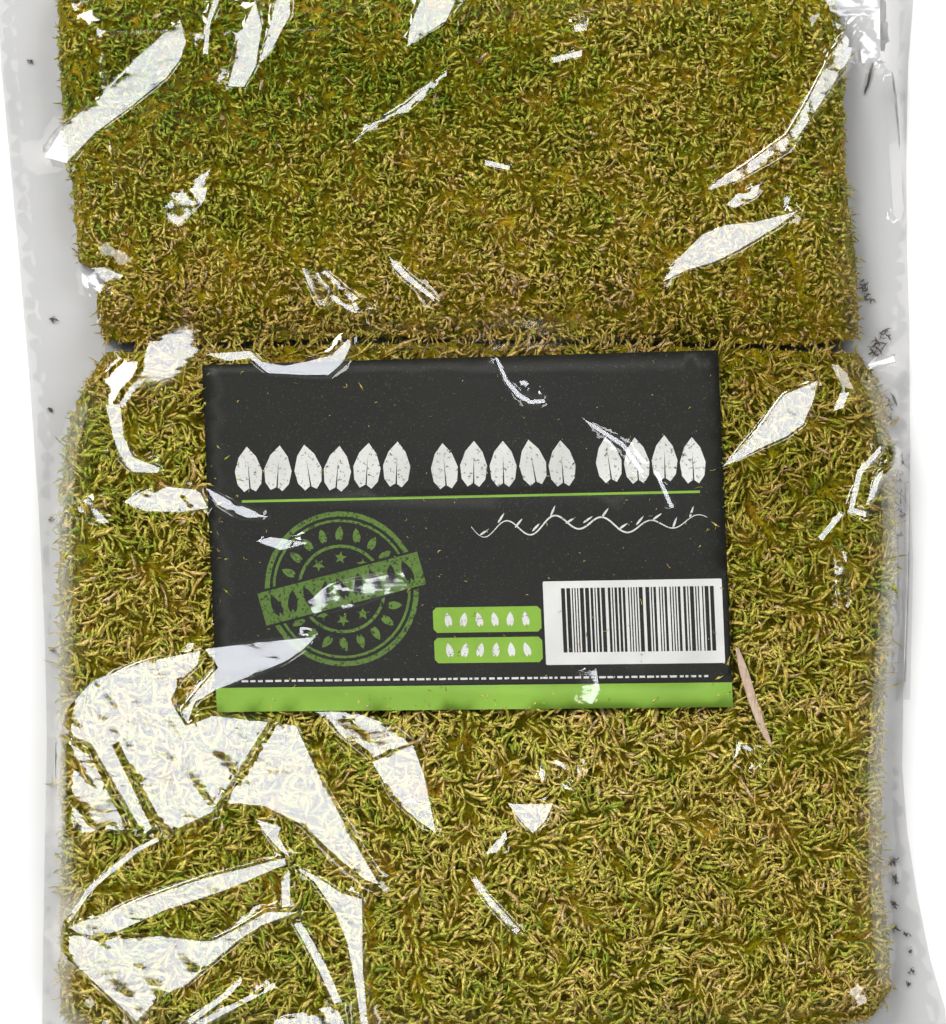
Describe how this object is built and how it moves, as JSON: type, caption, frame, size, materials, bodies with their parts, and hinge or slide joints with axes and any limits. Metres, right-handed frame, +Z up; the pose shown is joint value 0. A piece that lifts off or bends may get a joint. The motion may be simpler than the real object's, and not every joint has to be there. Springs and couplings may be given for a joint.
{
  "type": "clear bag of sheet moss",
  "caption": "Flat clear film bag that lies on its back and holds mats of sheet moss with a plain card under the film.",
  "frame": {"origin": "under the middle of the bag, on the surface that it lies on", "axes": "+X across the bag to its right, +Y along it to its top end, +Z up out of its front"},
  "size_m": [0.3258, 0.413, 0.029],
  "materials": {
    "moss_green": "matte",
    "moss_olive": "matte",
    "printed_card": "satin",
    "straw": "matte",
    "clear_film": "gloss"
  },
  "bodies": {
    "root": {"moss_sheet_upper": "moss_green", "moss_sheet_lower": "moss_olive", "label_card": "printed_card", "dry_stem": "straw", "bag_front_film": "clear_film", "bag_back_film": "clear_film"}
  },
  "joints": []
}
